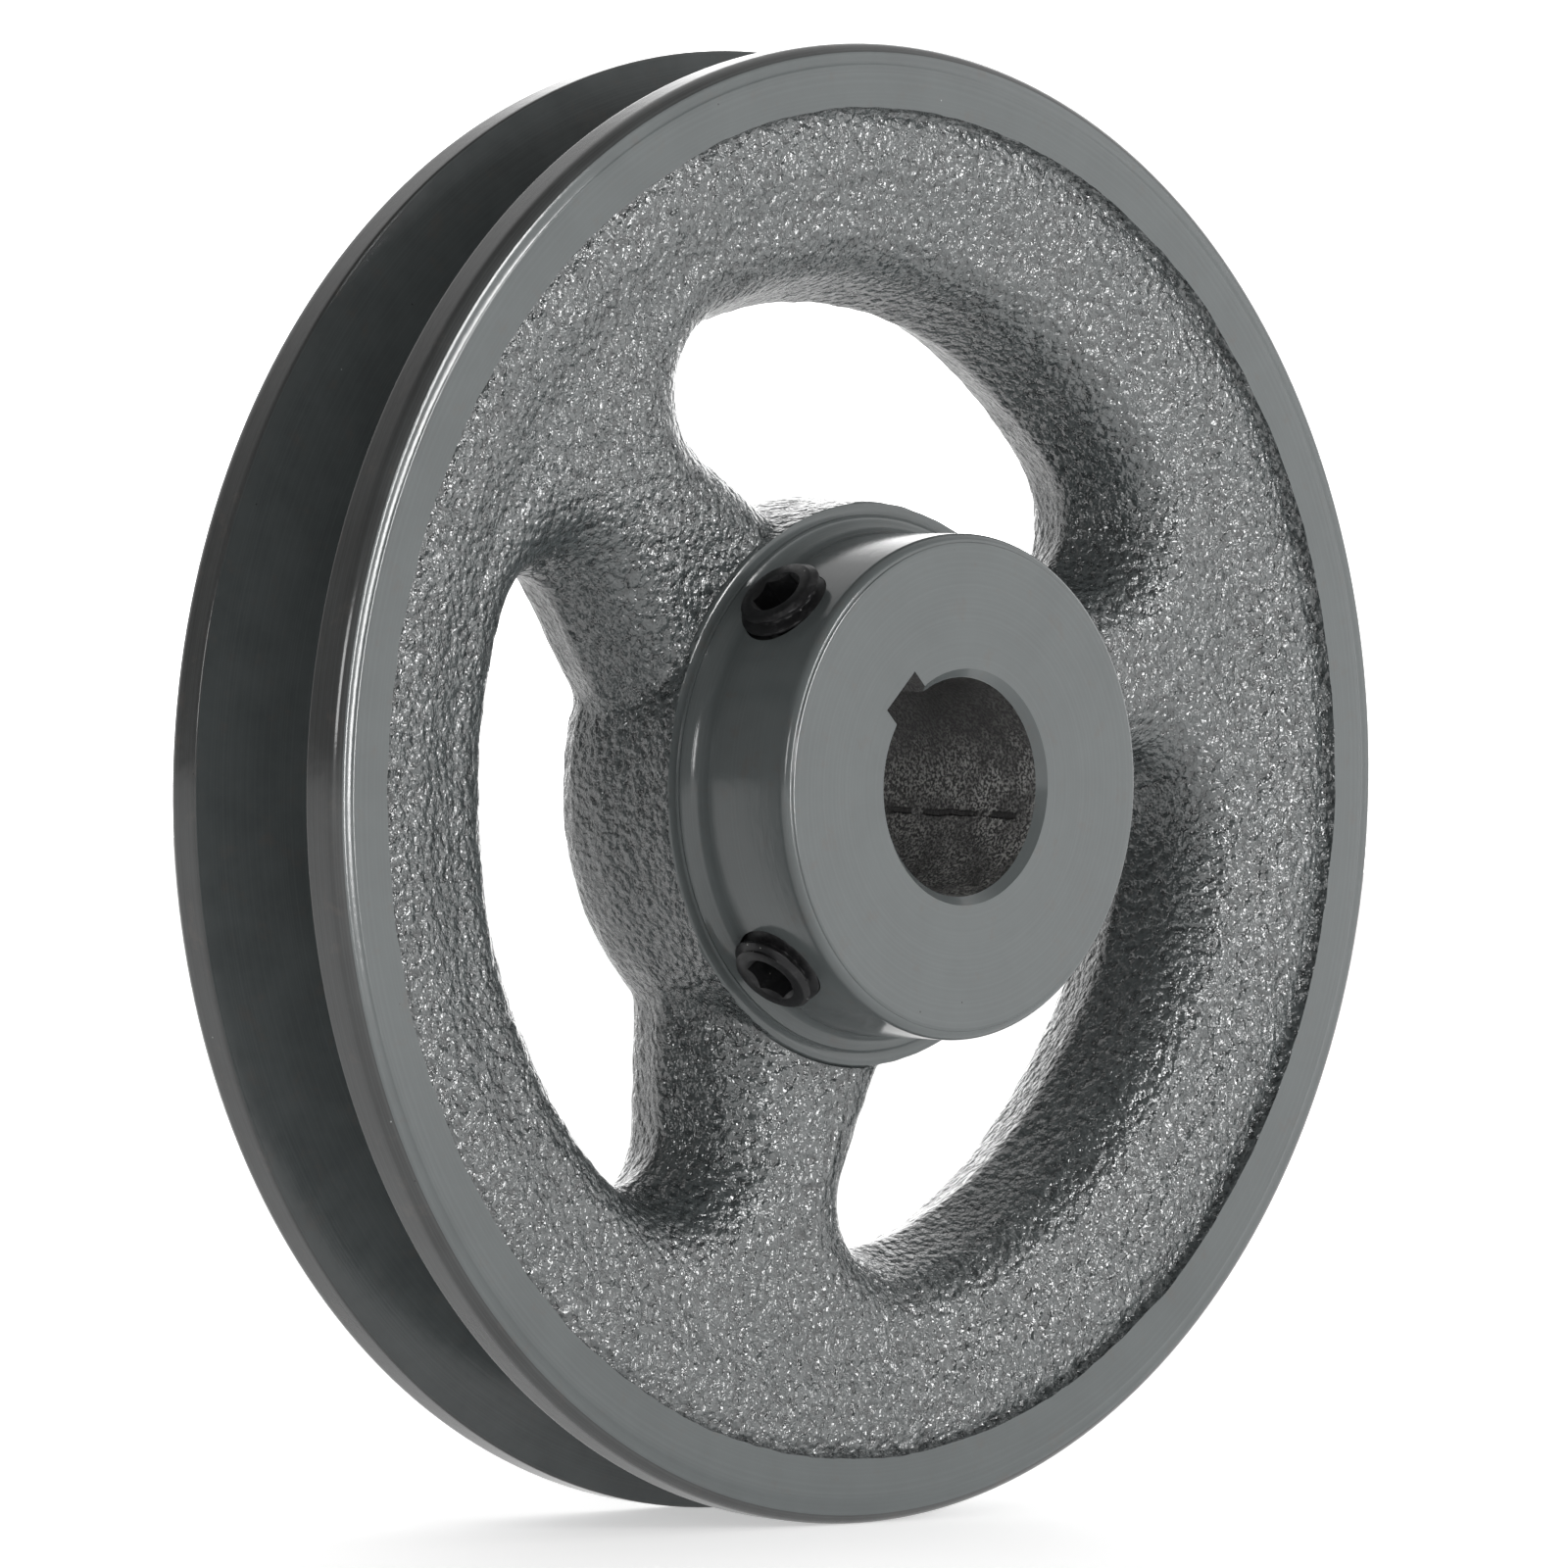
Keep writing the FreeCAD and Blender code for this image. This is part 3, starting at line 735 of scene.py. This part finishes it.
@dataclass
class TurnedEnvelope:
    """Everything that the lathe leaves: the rim, the groove, the hub and the bore, as one turned solid."""

    radius: float = 64.77
    half_width: float = 10.65
    rim_corner: float = 1.25
    rim_ledge: float = 62.85
    ledge_drop: float = 0.06
    groove_half_width: float = 7.0
    groove_angle: float = 19.0
    groove_depth: float = 12.7
    lip: float = 0.22
    hub_radius: float = 22.0
    hub_nose: float = 20.05
    hub_edge: float = 0.80
    flare_centre: Spot = (23.65, -10.05)
    flare_radius: float = 1.65
    flare_bands: tuple[Spot, ...] = ((23.56, -8.50), (23.64, -8.25), (24.15, -8.36), (24.6, -8.29))
    flare_lip: tuple[Spot, ...] = ((24.68, -8.25), (24.73, -8.16), (24.86, -7.80), (25.0, -8.30))
    flare_exit: Spot = (25.3, -10.65)
    bore_radius: float = 9.525
    bore_chamfer: float = 0.75
    around: int = 240

    def groove(self) -> list[Spot]:
        """Half of the groove, from the front lip to its middle."""
        slope = math.radians(self.groove_angle)
        bottom = self.radius - self.groove_depth
        narrow = self.groove_half_width - self.groove_depth * math.tan(slope)
        lip_angle = math.degrees(slope)
        brink = (self.radius - self.lip, -self.groove_half_width - self.lip * 0.7)
        lip = arc(brink, self.lip, 0, 90 - lip_angle, 3)
        corner = arc((bottom + 0.6, -narrow + 0.42), 0.6, 270 - lip_angle, 180, 4)
        return lip + corner

    def rim_edge(self) -> list[Spot]:
        """The rim's front corner, from the face outwards: a shallow ledge, then a round."""
        front, inner, drop = -self.half_width, self.rim_ledge, self.ledge_drop
        centre = (self.radius - self.rim_corner, front + drop + self.rim_corner)
        ledge = [(inner - 0.10, front), (inner, front + 0.02), (inner + 0.07, front + drop)]
        return ledge + arc(centre, self.rim_corner, -88, 0, 10)

    def section(self) -> list[Spot]:
        """The closed section: distance from the axis, and distance along it."""
        front, back = -self.half_width, self.half_width
        wide = self.bore_radius + self.bore_chamfer
        half, edge = self.groove(), self.rim_edge()
        brow = self.hub_radius - self.hub_edge
        nose = [
            (self.bore_radius, -self.hub_nose + self.bore_chamfer),
            (wide, -self.hub_nose),
            (brow - 0.12, -self.hub_nose),
            (brow - 0.03, -self.hub_nose + 0.03),
            (brow + 0.05, -self.hub_nose + 0.14),
            *arc((brow, -self.hub_nose + self.hub_edge + 0.12), self.hub_edge, -78, 0, 6),
            *arc(self.flare_centre, self.flare_radius, 180, 100, 8),
            *self.flare_bands,
            *self.flare_lip,
            self.flare_exit,
        ]
        front_rim = edge + half
        back_rim = [(r, -y) for r, y in reversed(front_rim)]
        tail = [(wide, back), (self.bore_radius, back - self.bore_chamfer)]
        return supported(nose + [(self.rim_ledge - 0.5, front)] + front_rim + back_rim + tail)

    def skin_of(self, middle: Spot) -> Skin:
        """The skin of the section's run round this middle point."""
        radius, level = middle
        if radius < self.bore_radius + 0.01:
            return Skin.BARE
        if radius < self.radius - self.lip and abs(level) < self.groove_half_width:
            return Skin.GROOVE
        if radius > self.radius - 0.6 * self.rim_corner:
            return Skin.LAND
        return Skin.TURNED

    def build(self) -> bpy.types.Object:
        """The turned solid with a skin on every face."""
        section = self.section()
        turn = np.linspace(0, math.tau, self.around, endpoint=False)
        rings = np.array([[(r * math.cos(a), y, r * math.sin(a)) for a in turn] for r, y in section])
        made = loft("turned_envelope", rings, closed=True)
        following = section[1:] + section[:1]
        skins = [self.skin_of(((a[0] + b[0]) / 2, (a[1] + b[1]) / 2)) for a, b in zip(section, following)]
        give_skin(made, [skin for skin in skins for _ in turn])
        return made


def clock_direction(clock: float) -> Vector:
    """The unit vector across the bore at an angle from +X towards +Z, in degrees."""
    return Vector((math.cos(math.radians(clock)), 0, math.sin(math.radians(clock))))


def clock_frame(clock: float) -> Array:
    """The axes of something that stands across the bore, as rows: sideways, along the bore, outwards."""
    out = clock_direction(clock)
    along = Vector((0, 1, 0))
    return np.array([along.cross(out), along, out])


@dataclass
class PulleyCasting:
    """The whole pulley: the rough casting, trimmed by the lathe, slotted and drilled."""

    cast: CastSkin = field(default_factory=CastSkin)
    turned: TurnedEnvelope = field(default_factory=TurnedEnvelope)
    key_half_width: float = 2.38125
    key_floor: float = 11.73
    key_cut_height: float = 7.0
    key_cut_span: tuple[float, float] = (-24.0, 14.0)
    hole_radius: float = 4.019
    hole_level: float = -13.0
    hole_span: tuple[float, float] = (5.0, 27.0)
    hole_facets: int = 96
    crisp_angle: float = 33.0

    def key_cutter(self) -> bpy.types.Object:
        """A bar as wide and as deep as the keyway."""
        w, low, high = self.key_half_width, self.key_floor - self.key_cut_height, self.key_floor
        outline = np.array([(-w, low), (w, low), (w, high), (-w, high)])
        sideways, along, out = clock_frame(KEYWAY_CLOCK)
        rings = [[u * sideways + v * out + y * along for u, v in outline] for y in self.key_cut_span]
        made = loft("key_cutter", np.array(rings), closed=False)
        give_skin(made, [Skin.BARE])
        return made

    def hole_cutter(self, clock: float) -> bpy.types.Object:
        """A round bar as wide as a set screw's hole."""
        sideways, along, out = clock_frame(clock)
        turn = np.linspace(0, math.tau, self.hole_facets, endpoint=False)
        circle = [self.hole_radius * (math.cos(a) * along + math.sin(a) * sideways) for a in turn]
        centre = self.hole_level * along
        rings = [[centre + point + out * reach for point in circle] for reach in self.hole_span]
        made = loft("hole_cutter", np.array(rings), closed=False)
        give_skin(made, [Skin.BARE])
        return made

    def build(self, finishes: dict[Skin, bpy.types.Material]) -> bpy.types.Object:
        """Makes the casting and puts it in the place of its part.

        Args:
            finishes: The material of each skin.

        Returns:
            The casting.
        """
        made = self.cast.build()
        give_skin(made, [Skin.CAST])
        shape_with(made, self.turned.build(), Cut.KEEP_COMMON)
        shape_with(made, self.key_cutter(), Cut.TAKE_AWAY)
        for clock in (KEYWAY_CLOCK, KEYWAY_CLOCK + 90):
            shape_with(made, self.hole_cutter(clock), Cut.TAKE_AWAY)
        made.name = made.data.name = "pulley"
        for skin in Skin:
            made.data.materials[skin.value] = finishes[skin]
        smooth(made, self.crisp_angle)
        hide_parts("pulley_casting")
        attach(made, "casting")
        return made


# ---------------------------------------------------------------- the set screws


@dataclass
class SetScrew:
    """A black set screw with a hexagon socket, a real thread and a cup point."""

    name: str
    body: str
    clock: float
    thread_radius: float = 3.969
    pitch: float = 1.411
    depth: float = 0.80
    length: float = 9.525
    reach: float = 23.6
    level: float = -13.0
    face_radius: float = 3.42
    point_radius: float = 2.6
    socket_flats: float = 3.969
    socket_depth: float = 4.0
    socket_mouth: float = 2.31
    cup_radius: float = 2.0
    crisp_angle: float = 38.0
    around: int = 96
    runs: int = 118

    def thread(self, turn: Array, down: float) -> Array:
        """The thread's radius all round, at a distance below the outer end."""
        phase = (down / self.pitch - turn / math.tau) % 1
        flank = np.clip((np.abs(phase - 0.5) * 2 - 0.16) / 0.62, 0, 1)
        return self.thread_radius - self.depth * flank

    def rings(self) -> Array:
        """The screw's surface as rings, from the bottom of the socket round to the middle of the cup."""
        turn = np.linspace(0, math.tau, self.around, endpoint=False)
        sixth = math.tau / 6
        hexagon = self.socket_flats / 2 / np.cos((turn % sixth) - sixth / 2)
        listed: list[tuple[Array | float, Array | float]] = [
            (hexagon * 0.35, self.socket_depth + 0.45),
            (hexagon * 0.98, self.socket_depth),
            (hexagon, self.socket_depth - 0.05),
            (hexagon, (self.socket_mouth - hexagon) * 0.8 + 0.05),
            (self.socket_mouth, 0.05),
            (self.socket_mouth + 0.06, 0.0),
            (self.face_radius - 0.08, 0.0),
            (self.face_radius, 0.05),
        ]
        for down in np.linspace(0.12, self.length - 0.06, self.runs):
            radius = np.minimum(self.thread(turn, down), self.face_radius + 1.1 * (down - 0.05))
            listed.append((np.minimum(radius, self.point_radius + (self.length - down)), down))
        listed += [
            (self.point_radius, self.length),
            (self.cup_radius, self.length),
            (0.7, self.length - 0.75),
        ]
        sideways, along, out = clock_frame(self.clock)
        top = self.level * along + self.reach * out
        across = np.cos(turn)[:, None] * sideways + np.sin(turn)[:, None] * along
        rings = []
        for radius, down in listed:
            radii = np.broadcast_to(radius, turn.shape)[:, None]
            depths = np.broadcast_to(down, turn.shape)[:, None]
            rings.append(top + across * radii - out * depths)
        return np.array(rings)

    def build(self, finish: bpy.types.Material) -> bpy.types.Object:
        """Makes the screw and puts it in the place of its part.

        Args:
            finish: Its material.

        Returns:
            The screw.
        """
        made = loft(self.name, self.rings(), closed=False)
        made.data.materials.append(finish)
        smooth(made, self.crisp_angle)
        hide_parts(f"set_screw_{self.body.removeprefix('screw_')}")
        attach(made, self.body)
        return made


# ---------------------------------------------------------------- the studio


@dataclass(frozen=True)
class Softbox:
    """A flat light that faces the object."""

    name: str
    place: tuple[float, float, float]
    size: tuple[float, float]
    power: float
    colour: Colour = (1.0, 1.0, 1.0)

    def build(self) -> None:
        """Hangs the light, in metres and watts."""
        lamp = bpy.data.lights.new(self.name, "AREA")
        lamp.shape, lamp.energy, lamp.color = "RECTANGLE", self.power, self.colour
        lamp.size, lamp.size_y = self.size
        made = bpy.data.objects.new(self.name, lamp)
        made.location = self.place
        made.rotation_euler = (-Vector(self.place)).to_track_quat("-Z", "Y").to_euler()
        bpy.context.scene.collection.objects.link(made)


@dataclass
class Studio:
    """A pale floor, soft light and the camera."""

    floor_half: float = 4.0
    bright_side: tuple[float, float, float] = (0.82, 0.57, 0.0)
    dusk: tuple[float, float] = (-0.15, 0.55)
    dim: float = 0.14
    bright: float = 1.0
    backdrop: float = 2.0
    azimuth: float = -44.90
    elevation: float = 0.13
    roll: float = 1.70
    distance: float = 0.7126
    lens: float = 185.0
    aside: tuple[float, float] = (-0.00167, -0.00018)
    lights: tuple[Softbox, ...] = (
        Softbox("key", (0.41, -1.11, 0.18), (0.16, 0.70), 9.0),
        Softbox("fill", (0.85, -0.85, 0.20), (0.70, 0.80), 1.9),
        Softbox("side", (-1.15, -0.75, 0.25), (0.35, 0.35), 3.9),
    )

    def floor(self, level: float, finish: bpy.types.Material) -> None:
        """Lays the floor at a height in metres."""
        half = self.floor_half / MM
        corners = np.array([(-half, -half, 0), (half, -half, 0), (half, half, 0), (-half, half, 0)])
        made = make_object("floor", corners + (0, 0, level / MM), [(0, 1, 2, 3)])
        made.data.materials.append(finish)
        made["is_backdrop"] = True

    def surroundings(self) -> None:
        """A white studio that is dimmer on the side of the groove that is seen."""
        recipe = Recipe(bpy.data.worlds.new("studio"))
        towards = recipe.node("ShaderNodeTexCoord", output="Generated")
        sides = {0: towards, 1: self.bright_side}
        share = recipe.node("ShaderNodeVectorMath", {"operation": "DOT_PRODUCT"}, sides, 1)
        light = share.ramp(self.dusk[0], self.dusk[1], self.dim, self.bright)
        behind = share.ramp(0.70, 0.95, 0.0, self.backdrop)
        tint = recipe.mix(share.ramp(-0.2, 0.5), (1.0, 0.975, 0.950), (1.0, 1.0, 1.0))
        white = {"Color": tint, "Strength": light + behind}
        world = recipe.close("ShaderNodeBackground", "ShaderNodeOutputWorld", white)
        bpy.context.scene.world = world
        bpy.context.scene.view_settings.view_transform = "Standard"

    def camera(self) -> None:
        """Sets up the camera."""
        a, e, tilt = (math.radians(v) for v in (self.azimuth, self.elevation, self.roll))
        back = Vector((math.sin(a) * math.cos(e), -math.cos(a) * math.cos(e), math.sin(e)))
        level = Vector((0, 0, 1)).cross(back).normalized()
        upright = back.cross(level)
        right = level * math.cos(tilt) + upright * math.sin(tilt)
        up = upright * math.cos(tilt) - level * math.sin(tilt)
        data = bpy.data.cameras.new("camera")
        data.lens, data.sensor_width = self.lens, 36.0
        data.clip_start, data.clip_end = 0.05, 50.0
        made = bpy.data.objects.new("camera", data)
        place = back * self.distance + right * self.aside[0] + up * self.aside[1]
        turned = Matrix((right, up, back)).transposed().to_4x4()
        made.matrix_world = Matrix.Translation(place) @ turned
        bpy.context.scene.collection.objects.link(made)
        bpy.context.scene.camera = made

    def build(self, level: float) -> None:
        """Sets the scene.

        Args:
            level: The floor's height in metres.
        """
        self.floor(level, PaleFloor().material())
        self.surroundings()
        for light in self.lights:
            light.build()
        self.camera()


def report(made: bpy.types.Object) -> None:
    """Logs the size of a finished piece."""
    LOG.info("%s: %d points, %d faces", made.name, len(made.data.vertices), len(made.data.polygons))


def main() -> None:
    """Builds the pulley, its set screws and the studio."""
    logging.basicConfig(level=logging.INFO, format="%(name)s: %(message)s")
    part_box = [list(corner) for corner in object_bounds()]
    finishes = {
        Skin.CAST: CastPaint().material(),
        Skin.TURNED: TurnedPaint().material(),
        # The land and the groove wear darker copies of the turned paint: painted shade.
        Skin.LAND: TurnedPaint("shaded_land_paint", (0.048, 0.050, 0.050), (0.041, 0.042, 0.042)).material(),
        Skin.GROOVE: TurnedPaint("shaded_groove_paint", (0.072, 0.080, 0.081), (0.058, 0.065, 0.066)).material(),
        Skin.BARE: BareIron().material(),
    }
    report(PulleyCasting().build(finishes))
    black = BlackOxide().material()
    for place, clock in (("over_keyway", KEYWAY_CLOCK), ("beside_keyway", KEYWAY_CLOCK + 90)):
        report(SetScrew(name=f"threaded_screw_{place}", body=f"screw_{place}", clock=clock).build(black))
    Studio().build(part_box[0][2])


if __name__ == "__main__":
    main()
